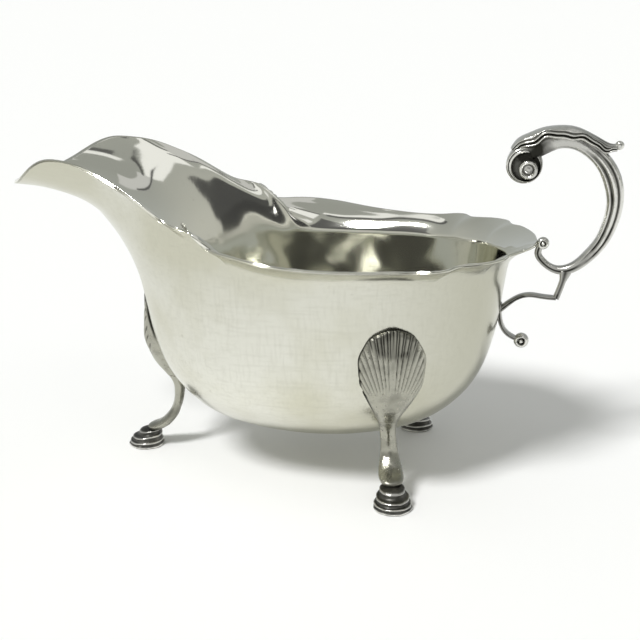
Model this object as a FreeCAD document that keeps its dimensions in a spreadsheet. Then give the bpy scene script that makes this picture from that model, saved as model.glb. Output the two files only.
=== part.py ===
"""Three-legged silver sauce boat: raised sheet body, cast shell-and-hoof legs, flying scroll handle.

Frame: +Z up, floor at Z = 0, spout towards -X, handle towards +X, mirror plane Y = 0.
Every size is in millimetres. SIZES and the tables below are written into the spreadsheet "Sizes",
and every shape reads them back from there.
"""
import FreeCAD, Part
import math
import os

import Sketcher
from FreeCAD import Placement, Rotation, Vector

DOC = FreeCAD.newDocument("sauce_boat")
SHEET = DOC.addObject("Spreadsheet::Sheet", "Sizes")

# ---------------------------------------------------------------- driving sizes
SIZES = {
    "bowl_centre_x": 4.0,
    "sheet_thickness": 0.8,
    "plan_power": 2.3,
    "front_leg_x": 46.7,
    "front_knee_reach": -1.8,
    "front_knee_lean": 0.0,
    "front_bend_start": 26.0,
    "front_bend_end": 46.0,
    "rear_leg_x": 29.0,
    "rear_leg_y": 26.0,
    "rear_leg_turn": 14.0,
    "rear_knee_reach": 5.4,
    "rear_knee_lean": 1.2,
    "rear_bend_start": 10.0,
    "rear_bend_end": 25.0,
    "foot_base_radius": 5.3,
    "foot_base_centre": 3.1,
    "foot_middle_radius": 4.6,
    "foot_middle_centre": 2.7,
    "foot_top_radius": 3.5,
    "foot_top_centre": 1.9,
    "foot_tier_height": 1.8,
    "foot_height": 5.6,
    "volute_x": 59.5,
    "volute_z": 89.3,
    "volute_radius": 4.8,
    "volute_width": 7.4,
    "volute_bore": 3.9,
    "recess_depth": 1.3,
    "eye_radius": 2.6,
    "eye_dome": 1.0,
    "eye_x": 60.6,
    "eye_z": 88.3,
    "knob_x": 83.6,
    "knob_z": 94.8,
    "knob_radius": 1.2,
    "curl_x": 65.6,
    "curl_z": 68.0,
    "curl_radius": 1.7,
    "strap_width": 3.4,
    "strap_thickness": 1.2,
    "strap_drop_thickness": 1.8,
    "ball_x": 61.2,
    "ball_z": 40.2,
    "ball_radius": 2.1,
    "bowl_middle_z": 45.0,
}

# Bowl rings from the sole up: X reach at the spout and handle ends, half-width,
# and height at the spout end, at the sides and at the handle end.
RINGS = (
    (0.0, 8.0, 3.5, 11.3, 11.3, 11.3),
    (-17.5, 21.5, 13.5, 13.4, 13.4, 13.4),
    (-31.0, 40.0, 24.7, 20.0, 20.0, 20.0),
    (-40.0, 50.5, 33.0, 31.5, 32.0, 32.0),
    (-44.0, 53.8, 34.4, 42.3, 42.3, 42.3),
    (-46.0, 55.5, 35.4, 53.0, 53.0, 53.3),
    (-47.5, 56.7, 36.0, 58.5, 61.5, 63.3),
)

# Rim outline from the handle end to the tip of the spout: X, half-width, height.
RIM = (
    (64.3, 0.0, 68.0), (63.4, 7.0, 68.3), (61.2, 13.0, 68.5), (58.8, 17.0, 68.5), (57.2, 19.0, 68.3),
    (56.3, 22.6, 68.3), (54.0, 26.2, 68.2), (50.0, 28.9, 68.0), (46.6, 30.0, 67.8), (45.0, 31.0, 67.6),
    (43.0, 34.6, 67.5), (40.3, 36.3, 67.4), (36.0, 36.4, 67.1), (30.0, 37.0, 66.9), (20.0, 39.7, 67.0),
    (10.0, 42.4, 67.6), (2.0, 43.9, 68.5), (-5.0, 43.2, 69.3), (-12.0, 40.0, 69.9), (-16.5, 37.3, 70.2),
    (-18.6, 36.4, 70.9), (-20.6, 36.2, 73.0), (-22.6, 36.4, 74.8), (-26.0, 36.0, 75.6), (-30.0, 34.4, 76.5),
    (-35.0, 32.9, 79.2), (-40.0, 31.6, 82.3), (-45.0, 30.3, 85.0), (-50.0, 28.9, 87.2), (-55.0, 27.2, 89.0),
    (-60.0, 25.8, 90.0), (-65.0, 24.6, 90.1), (-70.0, 22.3, 88.4), (-75.0, 18.5, 85.0), (-79.0, 13.5, 82.4),
    (-82.0, 9.0, 81.0), (-84.6, 4.4, 80.1), (-85.8, 0.0, 79.8),
)

# The flare between the crease and the rim, as shares of the way out and of the way up.
# The height share has one value for the sides and one for the spout.
FLARE = ((0.30, 0.48, 0.78), (0.64, 0.79, 0.97))

# Leg sections, from the ankle up: height, centre outwards from the ankle, half-depth, half-width.
STEM = (
    (5.6, 0.0, 2.2, 2.6), (6.6, -0.9, 3.1, 3.3), (8.0, -3.0, 2.5, 3.35), (10.0, -5.2, 1.8, 2.9),
    (12.5, -6.7, 1.35, 2.4), (15.0, -7.6, 1.3, 2.2), (18.0, -8.0, 1.4, 2.2), (21.0, -7.9, 1.7, 2.4),
    (23.5, -7.0, 2.3, 2.8),
)
KNEE = (
    (23.5, -7.0, 2.3, 2.8), (27.5, -6.2, 4.7, 4.7), (32.0, -4.8, 5.3, 7.3), (36.0, -3.2, 5.2, 8.6),
    (40.0, -2.0, 4.3, 8.9), (43.5, -1.2, 3.5, 8.8), (47.2, -0.2, 2.5, 7.1), (50.0, 1.0, 1.4, 4.2),
    (51.2, 1.5, 0.5, 1.3),
)

# Handle sections along each scroll: X, Z, thickness in the scroll's plane, width across it.
SCROLL = (
    (60.8, 92.6, 5.0, 6.6), (64.4, 94.7, 5.2, 6.6), (68.2, 96.0, 4.8, 6.2), (71.7, 95.8, 4.4, 5.8),
    (75.2, 94.3, 4.2, 5.4), (78.4, 91.9, 4.5, 5.2), (80.9, 88.9, 4.9, 5.0), (82.7, 85.0, 5.1, 4.8),
    (83.5, 80.6, 4.6, 4.5), (83.2, 76.5, 4.3, 4.2), (82.1, 72.4, 4.0, 4.0), (80.4, 68.6, 3.6, 3.8),
    (77.7, 65.1, 3.3, 3.6), (74.6, 62.2, 2.8, 3.3), (71.2, 60.8, 2.5, 3.0), (68.2, 61.3, 2.0, 2.7),
    (65.9, 62.9, 1.9, 2.4), (64.4, 65.2, 1.9, 2.2), (64.9, 67.3, 1.8, 2.0),
)
LEAF = (
    (56.4, 93.0, 1.8, 5.4), (58.0, 94.8, 2.6, 7.0), (60.7, 96.0, 3.2, 7.8), (64.3, 97.5, 3.2, 7.8),
    (68.2, 98.1, 3.2, 7.6), (71.8, 97.9, 3.2, 7.0), (75.0, 96.8, 3.0, 6.2), (78.5, 95.2, 2.6, 5.0),
    (81.3, 94.2, 2.2, 3.6), (83.0, 94.3, 1.8, 2.2),
)

# Paths of the strap and the lower scroll, in the plane Y = 0: X, Z.
STRAP_DROP = ((72.0, 60.6), (71.3, 57.4), (69.9, 52.9))
STRAP_RUN = ((69.9, 52.9), (66.2, 53.1), (62.7, 53.4), (60.0, 52.7), (57.6, 51.1), (54.6, 48.4))
LOWER_SCROLL = ((54.8, 50.6), (54.9, 47.6), (55.5, 44.7), (56.9, 42.4), (59.0, 41.0), (60.6, 40.5))


TABLES = {
    "ring": RINGS, "rim": RIM, "flare": FLARE, "stem": STEM, "knee": KNEE, "scroll": SCROLL, "leaf": LEAF,
    "strap_drop": STRAP_DROP, "strap_run": STRAP_RUN, "lower_scroll": LOWER_SCROLL,
}


def fill_sheet():
    """Write every size into the spreadsheet. A table's cells are called NAME_ROW_COLUMN."""
    cells = dict(SIZES)
    for name, rows in TABLES.items():
        for number, row in enumerate(rows):
            cells.update({f"{name}_{number}_{column}": value for column, value in enumerate(row)})
    for line, (alias, value) in enumerate(cells.items(), start=1):
        SHEET.set(f"A{line}", alias)
        SHEET.set(f"B{line}", str(value))
        SHEET.setAlias(f"B{line}", alias)
    DOC.recompute()


def size(alias):
    """A driving size, read back from the spreadsheet."""
    return float(getattr(SHEET, alias))


def table(name):
    """A table's rows, read back from the spreadsheet."""
    rows = enumerate(TABLES[name])
    return [tuple(size(f"{name}_{number}_{column}") for column in range(len(row))) for number, row in rows]


# ---------------------------------------------------------------- raised body
def rim_samples(steps=2):
    """Rim points with extra ones between the named stations, from the handle end to the tip."""
    stations = [Vector(*point) for point in table("rim")]
    curve = Part.BSplineCurve()
    curve.interpolate(Points=stations)
    knots = [curve.parameter(point) for point in stations]
    samples = []
    for first, second in zip(knots, knots[1:]):
        samples += [curve.value(first + (second - first) * k / steps) for k in range(steps)]
    samples.append(stations[-1])
    samples[0] = stations[0]
    return samples


def ring_point(ring, share):
    """A point of one ring. share runs from 1 at the handle end to -1 at the spout end."""
    front_x, back_x, half_width, front_z, side_z, back_z = ring
    centre = size("bowl_centre_x")
    power = size("plan_power")
    if share >= 0:
        reach, end_z = back_x - centre, back_z
    else:
        reach, end_z = centre - front_x, front_z
    across = half_width * max(0.0, 1.0 - abs(share) ** power) ** (1.0 / power)
    return Vector(centre + reach * share, across, side_z + (end_z - side_z) * share * share)


def flare_point(foot, edge, share, flare):
    """A point of the flare between the crease and the rim."""
    out, up_side, up_spout = flare
    up = up_side + (up_spout - up_side) * max(0.0, -share) ** 4
    return Vector(
        foot.x + (edge.x - foot.x) * out,
        foot.y + (edge.y - foot.y) * out,
        foot.z + (edge.z - foot.z) * up,
    )


def outer_rings():
    """Half of the outside of the body (Y >= 0) as rows of points, from the sole to the rim."""
    rim = rim_samples()
    centre = size("bowl_centre_x")
    reach_back = rim[0].x - centre
    reach_front = centre - rim[-1].x
    shares = [(p.x - centre) / (reach_back if p.x >= centre else reach_front) for p in rim]
    rows = [[ring_point(ring, share) for share in shares] for ring in table("ring")]
    creases = rows[-1]
    for flare in table("flare"):
        rows.append([flare_point(f, e, s, flare) for f, e, s in zip(creases, rim, shares)])
    rows.append(rim)
    return rows


def smooth_column(points, steps=3):
    """Points on a smooth curve through the given ones, with extra ones between them."""
    result = []
    last = len(points) - 1
    slopes = []
    for index in range(last + 1):
        before = points[max(0, index - 1)]
        after = points[min(last, index + 1)]
        span = (points[index] - before).Length + (after - points[index]).Length
        slopes.append((after - before) * (1.0 / span))
    for index in range(last):
        start, end = points[index], points[index + 1]
        chord = (end - start).Length
        for step in range(steps):
            k = step / steps
            result.append(
                start * (1 - 3 * k * k + 2 * k ** 3) + end * (3 * k * k - 2 * k ** 3)
                + slopes[index] * (chord * (k - 2 * k * k + k ** 3))
                + slopes[index + 1] * (chord * (k ** 3 - k * k))
            )
    result.append(points[last])
    return result


def mirrored(point):
    return Vector(point.x, -point.y, point.z)


def outer_grid():
    """Columns of points that run up the outside of the half body, from the handle end to the tip."""
    return [smooth_column(list(column)) for column in zip(*outer_rings())]


def inner_grid(outer, thickness):
    """The inside of the half body: the outer points moved inwards by the sheet's thickness."""
    inner = []
    for index, column in enumerate(outer):
        after = outer[index + 1] if index + 1 < len(outer) else [mirrored(p) for p in outer[index - 1]]
        before = outer[index - 1] if index > 0 else [mirrored(p) for p in outer[1]]
        moved = [column[0] + Vector(0, 0, thickness)]
        for row in range(1, len(column)):
            upward = column[min(row + 1, len(column) - 1)] - column[row - 1]
            inward = upward.cross(after[row] - before[row])
            moved.append(column[row] + inward.normalize() * thickness)
        inner.append(moved)
    return inner


def half_skin(grid):
    """A smooth face through a grid of points, and its edges at the sole and at the rim."""
    surface = Part.BSplineSurface()
    surface.interpolate(grid)
    _, _, low, high = surface.bounds()
    return surface.toShape(), surface.vIso(low).toShape(), surface.vIso(high).toShape()


def make_body_shell():
    outer = outer_grid()
    inner = inner_grid(outer, size("sheet_thickness"))
    outside, outside_sole, outside_rim = half_skin(outer)
    inside, inside_sole, inside_rim = half_skin(inner)
    edge = Part.makeRuledSurface(outside_rim, inside_rim)
    half = [outside, inside, edge]
    faces = half + [face.mirror(Vector(0, 0, 0), Vector(0, 1, 0)) for face in half]
    for sole in (outside_sole, inside_sole):
        other = sole.mirror(Vector(0, 0, 0), Vector(0, 1, 0))
        faces.append(Part.Face(Part.Wire([sole, other])))
    sewn = Part.makeShell(faces)
    sewn.sewShape()
    solid = Part.makeSolid(sewn)
    if solid.Volume < 0:
        solid.reverse()
    return solid


# ---------------------------------------------------------------- shared helpers
def section_wire(centre, first, second, corners=24):
    """A closed smooth wire round an ellipse, always started at first, so that lofts don't twist."""
    points = []
    for index in range(corners):
        angle = 2 * math.pi * index / corners
        points.append(centre + first * math.cos(angle) + second * math.sin(angle))
    curve = Part.BSplineCurve()
    curve.interpolate(Points=points, PeriodicFlag=True)
    return Part.Wire([curve.toShape()])


def trimmed(shape, *neighbours):
    """The shape with its neighbours taken off, so that the faces meet. The largest solid is kept."""
    for neighbour in neighbours:
        if shape.BoundBox.intersect(neighbour.BoundBox):
            shape = max(shape.cut(neighbour).Solids, key=lambda solid: solid.Volume)
    return shape


def outside_of(shape, body):
    """The part of a shape that lies outside the bowl."""
    middle = Vector(size("bowl_centre_x"), 0, size("bowl_middle_z"))
    return max(shape.cut(body).Solids, key=lambda solid: (solid.CenterOfMass - middle).Length)


def add_shape(label, shape):
    """A document object that holds a shape made by the functions here."""
    obj = DOC.addObject("Part::Feature", label)
    obj.Shape = shape
    obj.Label = label
    return obj


def add_body(label):
    body = DOC.addObject("PartDesign::Body", label)
    body.Label = label
    return body


def circle_sketch(body, role, offset, circles):
    """A sketch on one of the body's own planes, moved along its normal by an expression.

    Each circle is three expressions on the sheet: its radius and its two centre coordinates.
    """
    sketch = body.newObject("Sketcher::SketchObject", f"{body.Label}_sketch")
    plane = next(item for item in body.Origin.OriginFeatures if item.Role == role)
    sketch.AttachmentSupport = [(plane, "")]
    sketch.MapMode = "FlatFace"
    sketch.setExpression("AttachmentOffset.Base.z", offset)
    for index, (radius, first, second) in enumerate(circles):
        values = [size_of(expression) for expression in (radius, first, second)]
        sketch.addGeometry(Part.Circle(Vector(values[1], values[2], 0), Vector(0, 0, 1), values[0]), False)
        constraints = [(Sketcher.Constraint("Radius", index, values[0]), radius),
                       (Sketcher.Constraint("DistanceX", -1, 1, index, 3, values[1]), first)]
        if second == "0":
            sketch.addConstraint(Sketcher.Constraint("PointOnObject", index, 3, -1))
        else:
            constraints.append((Sketcher.Constraint("DistanceY", -1, 1, index, 3, values[2]), second))
        for constraint, expression in constraints:
            number = sketch.addConstraint(constraint)
            sketch.setExpression(f"Constraints[{number}]", expression)
    return sketch


def size_of(expression):
    """The present value of a one-term expression such as Sizes.eye_radius, or of a number."""
    if expression.startswith("Sizes."):
        return size(expression[len("Sizes."):])
    return float(expression)


def add_pad(body, sketch, length, both_ways=False):
    pad = body.newObject("PartDesign::Pad", f"{body.Label}_pad")
    pad.Profile = sketch
    pad.setExpression("Length", length)
    pad.Midplane = both_ways
    return pad


# ---------------------------------------------------------------- legs
def leg_loft(sections, end, side, placement):
    """A stack of level ovals in the leg's frame: outwards is +X, across is Y.

    end is "front" or "rear": the casting is bent a little to fit the wall there. A rear knee
    also leans towards the spout. side is -1 towards -Y, 1 towards +Y and 0 in the middle.
    """
    names = ("knee_reach", "knee_lean", "bend_start", "bend_end")
    reach, lean, bend_start, bend_end = (size(f"{end}_{name}") for name in names)
    wires = []
    for height, centre, depth, width in sections:
        bend = min(1.0, max(0.0, (height - bend_start) / (bend_end - bend_start)))
        share = bend * bend * (3 - 2 * bend)
        middle = placement.multVec(Vector(centre + reach * share, side * lean * share, height))
        outwards = placement.Rotation.multVec(Vector(depth, 0, 0))
        across = placement.Rotation.multVec(Vector(0, width, 0))
        wires.append(section_wire(middle, outwards, across))
    return Part.makeLoft(wires, True, False, False)


def leg_places():
    """Name, placement, end of the bowl and side of the three legs. A leg's own +X points outwards."""
    across = size("rear_leg_y")
    along = size("rear_leg_x")
    turn = size("rear_leg_turn")
    up = Vector(0, 0, 1)
    front = Placement(Vector(-size("front_leg_x"), 0, 0), Rotation(up, 180))
    near = Placement(Vector(along, -across, 0), Rotation(up, turn - 90))
    far = Placement(Vector(along, across, 0), Rotation(up, 90 - turn))
    return (
        ("front", front, "front", 0),
        ("right", near, "rear", -1),
        ("left", far, "rear", 1),
    )


def add_hoof(label, placement):
    """A stepped hoof: three round tiers, each set back from the toe of the one below."""
    body = add_body(label)
    tier = "Sizes.foot_tier_height"
    top = f"Sizes.foot_height - 2 * {tier}"
    tiers = (("base", "0", tier), ("middle", tier, tier), ("top", f"2 * {tier}", top))
    for name, bottom, height in tiers:
        circle = (f"Sizes.foot_{name}_radius", f"Sizes.foot_{name}_centre", "0")
        sketch = circle_sketch(body, "XY_Plane", bottom, [circle])
        add_pad(body, sketch, height)
    body.Placement = placement
    return body


def add_legs(body_shell):
    """Each leg: a ribbed knee on the bowl's wall, a cabriole stem and a stepped hoof."""
    for name, placement, end, side in leg_places():
        knee = leg_loft(table("knee"), end, side, placement)
        stem = leg_loft(table("stem"), end, side, placement)
        add_shape(f"knee_shell_{name}", outside_of(knee, body_shell))
        add_shape(f"leg_stem_{name}", trimmed(stem, body_shell))
        add_hoof(f"hoof_foot_{name}", placement)


# ---------------------------------------------------------------- handle
def scroll_loft(stations):
    """A tapered bar of oval section along a scroll that lies in the plane Y = 0."""
    path = Part.BSplineCurve()
    path.interpolate(Points=[Vector(x, 0, z) for x, z, _, _ in stations])
    wires = []
    for x, z, thickness, width in stations:
        centre = Vector(x, 0, z)
        tangent = Vector(*path.tangent(path.parameter(centre))[0])
        normal = tangent.cross(Vector(0, 1, 0))
        wires.append(section_wire(centre, normal * (thickness / 2), Vector(0, width / 2, 0)))
    return Part.makeLoft(wires, True, False, False)


def strip(points, thickness, width, steps=4):
    """A flat bar of even thickness that follows points in the plane Y = 0."""
    path = Part.BSplineCurve()
    path.interpolate(Points=[Vector(x, 0, z) for x, z in points])
    first, last = path.FirstParameter, path.LastParameter
    count = steps * len(points)
    sides = ([], [])
    for index in range(count + 1):
        parameter = first + (last - first) * index / count
        normal = Vector(*path.tangent(parameter)[0]).cross(Vector(0, 1, 0)) * (thickness / 2)
        sides[0].append(path.value(parameter) + normal)
        sides[1].append(path.value(parameter) - normal)
    edges = []
    for side in sides:
        curve = Part.BSplineCurve()
        curve.interpolate(Points=side)
        edges.append(curve.toShape())
    ends = [Part.makeLine(sides[0][k], sides[1][k]) for k in (0, -1)]
    outline = Part.Wire(Part.__sortEdges__(edges + ends))
    bar = Part.Face(outline).extrude(Vector(0, width, 0))
    bar.translate(Vector(0, -width / 2, 0))
    return bar


def add_volute():
    """The rolled end of the scroll: a drum with a raised rim round a recess on each side."""
    body = add_body("handle_volute")
    centre = ("Sizes.volute_x", "Sizes.volute_z")
    core = circle_sketch(body, "XZ_Plane", "0", [("Sizes.volute_radius", *centre)])
    add_pad(body, core, "Sizes.volute_width - 2 * Sizes.recess_depth", both_ways=True)
    ring = circle_sketch(body, "XZ_Plane", "0",
                         [("Sizes.volute_radius", *centre), ("Sizes.volute_bore", *centre)])
    add_pad(body, ring, "Sizes.volute_width", both_ways=True)
    return body


def add_eye(label, side):
    """A domed button in the recess of the volute. side is 1 towards -Y and -1 towards +Y."""
    body = add_body(label)
    start = "Sizes.volute_width / 2 - Sizes.recess_depth"
    length = "Sizes.recess_depth + Sizes.eye_dome"
    if side < 0:
        start = f"-({start}) - ({length})"
    sketch = circle_sketch(body, "XZ_Plane", start, [("Sizes.eye_radius", "Sizes.eye_x", "Sizes.eye_z")])
    pad = add_pad(body, sketch, length)
    DOC.recompute()
    outer = min(range(len(pad.Shape.Edges)), key=lambda k: side * pad.Shape.Edges[k].BoundBox.Center.y)
    fillet = body.newObject("PartDesign::Fillet", f"{label}_fillet")
    fillet.Base = (pad, [f"Edge{outer + 1}"])
    fillet.setExpression("Radius", "Sizes.eye_dome")
    body.Tip = fillet
    return body


def add_ball(label, prefix):
    """A ball terminal whose radius and place come from the sheet."""
    ball = DOC.addObject("Part::Sphere", label)
    ball.setExpression("Radius", f"Sizes.{prefix}_radius")
    ball.setExpression("Placement.Base.x", f"Sizes.{prefix}_x")
    ball.setExpression("Placement.Base.z", f"Sizes.{prefix}_z")
    ball.Label = label
    return ball


def add_handle(body_shell):
    """The flying scroll: main scroll, volute, leaf cap, strap, lower scroll and ball ends."""
    volute = add_volute()
    add_eye("volute_eye_right", 1)
    add_eye("volute_eye_left", -1)
    curl = add_ball("inner_curl_knob", "curl")
    ball = add_ball("lower_scroll_ball", "ball")
    DOC.recompute()
    thickness, width = size("strap_thickness"), size("strap_width")
    drop = strip(table("strap_drop"), size("strap_drop_thickness"), width)
    scroll = trimmed(scroll_loft(table("scroll")), volute.Shape, curl.Shape)
    knob = Part.makeSphere(size("knob_radius"), Vector(size("knob_x"), 0, size("knob_z")))
    leaf = trimmed(scroll_loft(table("leaf")).fuse(knob), volute.Shape, scroll)
    strap = drop.fuse(strip(table("strap_run"), thickness, width))
    strap = trimmed(strap.removeSplitter(), body_shell, scroll)
    lower = trimmed(strip(table("lower_scroll"), thickness, width), body_shell, strap, ball.Shape)
    add_shape("handle_scroll", scroll)
    add_shape("handle_leaf_cap", leaf)
    add_shape("handle_strap", strap)
    add_shape("lower_scroll", lower)


# ---------------------------------------------------------------- checks and files
def sub_parts():
    """The objects that are pieces of the sauce boat: bodies, shapes and balls."""
    kinds = ("PartDesign::Body", "Part::Feature", "Part::Sphere")
    return [obj for obj in DOC.Objects if obj.TypeId in kinds]


def check_document():
    for obj in DOC.Objects:
        if {"Invalid", "Error"} & set(obj.State):
            raise RuntimeError(f"{obj.Label} failed to recompute: {obj.State}")
    for part in sub_parts():
        if part.Shape.isNull() or not part.Shape.isValid():
            raise RuntimeError(f"{part.Label} has no valid shape")


def write_parts():
    os.makedirs("parts", exist_ok=True)
    for part in sub_parts():
        part.Shape.exportStep(f"parts/{part.Label}.step")


def main():
    fill_sheet()
    body_shell = make_body_shell()
    add_shape("body_shell", body_shell)
    add_legs(body_shell)
    add_handle(body_shell)
    DOC.recompute()
    check_document()
    write_parts()
    for part in sub_parts():
        print(f"{part.Label}: {part.Shape.Volume:.0f} mm3, {len(part.Shape.Solids)} solid")


main()
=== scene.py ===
"""Looks of the three-legged silver sauce boat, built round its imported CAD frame.

Metres, +Z up, spout towards -X, handle towards +X, mirror plane Y = 0. The tables are in
millimetres, as on the CAD sheet, and MM turns them into metres. A leg's own frame has +X outwards.
"""
import math

import bmesh
import bpy
import numpy as np
from mathutils import Matrix, Vector
from mathutils.bvhtree import BVHTree


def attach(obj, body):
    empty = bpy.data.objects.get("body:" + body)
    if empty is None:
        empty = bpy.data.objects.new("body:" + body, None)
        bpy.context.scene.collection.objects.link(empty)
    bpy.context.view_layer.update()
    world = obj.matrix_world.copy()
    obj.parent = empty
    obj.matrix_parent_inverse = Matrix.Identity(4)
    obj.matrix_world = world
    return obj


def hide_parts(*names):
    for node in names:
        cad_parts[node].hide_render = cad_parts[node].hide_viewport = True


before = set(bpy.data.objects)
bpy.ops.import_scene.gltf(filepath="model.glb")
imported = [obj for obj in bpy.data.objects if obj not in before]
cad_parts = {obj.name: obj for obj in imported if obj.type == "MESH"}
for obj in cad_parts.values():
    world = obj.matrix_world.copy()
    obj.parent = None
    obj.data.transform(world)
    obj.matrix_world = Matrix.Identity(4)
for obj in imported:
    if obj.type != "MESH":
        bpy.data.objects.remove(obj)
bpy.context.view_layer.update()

MM = 0.001

# ---------------------------------------------------------------- sizes that the CAD model shares
BOWL_CENTRE_X = 4.0
PLAN_POWER = 2.3
SHEET = 0.8

# Bowl rings from the sole up: X at the spout end and at the handle end, half-width, and height
# at the spout end, at the sides and at the handle end
RINGS = (
    (0.0, 8.0, 3.5, 11.3, 11.3, 11.3),
    (-17.5, 21.5, 13.5, 13.4, 13.4, 13.4),
    (-31.0, 40.0, 24.7, 20.0, 20.0, 20.0),
    (-40.0, 50.5, 33.0, 31.5, 32.0, 32.0),
    (-44.0, 53.8, 34.4, 42.3, 42.3, 42.3),
    (-46.0, 55.5, 35.4, 53.0, 53.0, 53.3),
    (-47.5, 56.7, 36.0, 58.5, 61.5, 63.3),
)

# Rim outline from the handle end to the tip of the spout: X, half-width, height
RIM = (
    (64.3, 0.0, 68.0), (63.4, 7.0, 68.3), (61.2, 13.0, 68.5), (58.8, 17.0, 68.5), (57.2, 19.0, 68.3),
    (56.3, 22.6, 68.3), (54.0, 26.2, 68.2), (50.0, 28.9, 68.0), (46.6, 30.0, 67.8), (45.0, 31.0, 67.6),
    (43.0, 34.6, 67.5), (40.3, 36.3, 67.4), (36.0, 36.4, 67.1), (30.0, 37.0, 66.9), (20.0, 39.7, 67.0),
    (10.0, 42.4, 67.6), (2.0, 43.9, 68.5), (-5.0, 43.2, 69.3), (-12.0, 40.0, 69.9), (-16.5, 37.3, 70.2),
    (-18.6, 36.4, 70.9), (-20.6, 36.2, 73.0), (-22.6, 36.4, 74.8), (-26.0, 36.0, 75.6), (-30.0, 34.4, 76.5),
    (-35.0, 32.9, 79.2), (-40.0, 31.6, 82.3), (-45.0, 30.3, 85.0), (-50.0, 28.9, 87.2), (-55.0, 27.2, 89.0),
    (-60.0, 25.8, 90.0), (-65.0, 24.6, 90.1), (-70.0, 22.3, 88.4), (-75.0, 18.5, 85.0), (-79.0, 13.5, 82.4),
    (-82.0, 9.0, 81.0), (-84.6, 4.4, 80.1), (-85.8, 0.0, 79.8),
)

# Shares of the flare's way out, and of its way up at the sides and at the spout
FLARE = ((0.30, 0.48, 0.78), (0.64, 0.79, 0.97))

# Leg sections from the ankle up: height, centre outwards, half-depth, half-width
LEG = (
    (5.6, 0.0, 2.2, 2.6), (6.6, -0.9, 3.1, 3.3), (8.0, -3.0, 2.5, 3.35), (10.0, -5.2, 1.8, 2.9),
    (12.5, -6.7, 1.35, 2.4), (15.0, -7.6, 1.3, 2.2), (18.0, -8.0, 1.4, 2.2), (21.0, -7.9, 1.7, 2.4),
    (23.5, -7.0, 2.3, 2.8), (27.5, -6.2, 4.7, 4.7), (32.0, -4.8, 5.3, 7.3), (36.0, -3.2, 5.2, 8.6),
    (40.0, -2.0, 4.3, 8.9), (43.5, -1.2, 3.5, 8.8), (47.2, -0.2, 2.5, 7.1), (50.0, 1.0, 1.4, 4.2),
    (51.2, 1.5, 0.5, 1.3),
)
STEM_SPANS = 8
FRONT_LEG_X = 46.7
REAR_LEG_X, REAR_LEG_Y, REAR_LEG_TURN = 29.0, 26.0, 14.0

# How a leg is bent to fit the wall: how far out, how far to the spout's side, and the heights
# between which it bends
FRONT_BEND = (-1.8, 0.0, 26.0, 46.0)
REAR_BEND = (5.4, 1.2, 10.0, 25.0)

# Handle sections along each scroll: X, Z, thickness in the scroll's plane, width across it
SCROLL = (
    (60.8, 92.6, 5.0, 6.6), (64.4, 94.7, 5.2, 6.6), (68.2, 96.0, 4.8, 6.2), (71.7, 95.8, 4.4, 5.8),
    (75.2, 94.3, 4.2, 5.4), (78.4, 91.9, 4.5, 5.2), (80.9, 88.9, 4.9, 5.0), (82.7, 85.0, 5.1, 4.8),
    (83.5, 80.6, 4.6, 4.5), (83.2, 76.5, 4.3, 4.2), (82.1, 72.4, 4.0, 4.0), (80.4, 68.6, 3.6, 3.8),
    (77.7, 65.1, 3.3, 3.6), (74.6, 62.2, 2.8, 3.3), (71.2, 60.8, 2.5, 3.0), (68.2, 61.3, 2.0, 2.7),
    (65.9, 62.9, 1.9, 2.4), (64.4, 65.2, 1.9, 2.2), (64.9, 67.3, 1.8, 2.0),
)
LEAF = (
    (56.4, 93.0, 1.8, 5.4), (58.0, 94.8, 2.6, 7.0), (60.7, 96.0, 3.2, 7.8), (64.3, 97.5, 3.2, 7.8),
    (68.2, 98.1, 3.2, 7.6), (71.8, 97.9, 3.2, 7.0), (75.0, 96.8, 3.0, 6.2), (78.5, 95.2, 2.6, 5.0),
    (81.3, 94.2, 2.2, 3.6), (83.0, 94.3, 1.8, 2.2),
)
STRAP_DROP = ((72.0, 60.6), (71.3, 57.4), (69.9, 52.9))
STRAP_RUN = ((69.9, 52.9), (66.2, 53.1), (62.7, 53.4), (60.0, 52.7), (57.6, 51.1), (54.6, 48.4))
LOWER_SCROLL = ((54.8, 50.6), (54.9, 47.6), (55.5, 44.7), (56.9, 42.4), (59.0, 41.0), (60.6, 40.5))
STRAP_WIDTH, STRAP_THICKNESS, STRAP_DROP_THICKNESS = 3.4, 1.2, 1.8

# Centres of the turned pieces, in X and Z
VOLUTE_CENTRE = (59.5, 89.3)
EYE_CENTRE = (60.6, 88.3)
KNOB_CENTRE = (83.6, 94.8)
CURL_CENTRE = (65.6, 68.0)
BALL_CENTRE = (61.2, 40.2)


# ---------------------------------------------------------------- curves and meshes
def smoothstep(low, high, value):
    """0 up to low, 1 from high on, and a smooth rise between them."""
    share = np.clip((value - low) / (high - low), 0.0, 1.0)
    return share * share * (3 - 2 * share)


def bell(value, centre, width):
    """1 at the centre, and falling off smoothly to both sides."""
    return np.exp(-((value - centre) / width) ** 2)


def turn_from(turns, start):
    """Angles measured from a start, from minus half a turn to half a turn."""
    return np.angle(np.exp(1j * (turns - start)))


def superellipse(turns, power):
    """Points round a curve between an ellipse, at a power of 2, and a rectangle."""
    c, s = np.cos(turns), np.sin(turns)
    return np.sign(c) * np.abs(c) ** (2 / power), np.sign(s) * np.abs(s) ** (2 / power)


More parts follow.
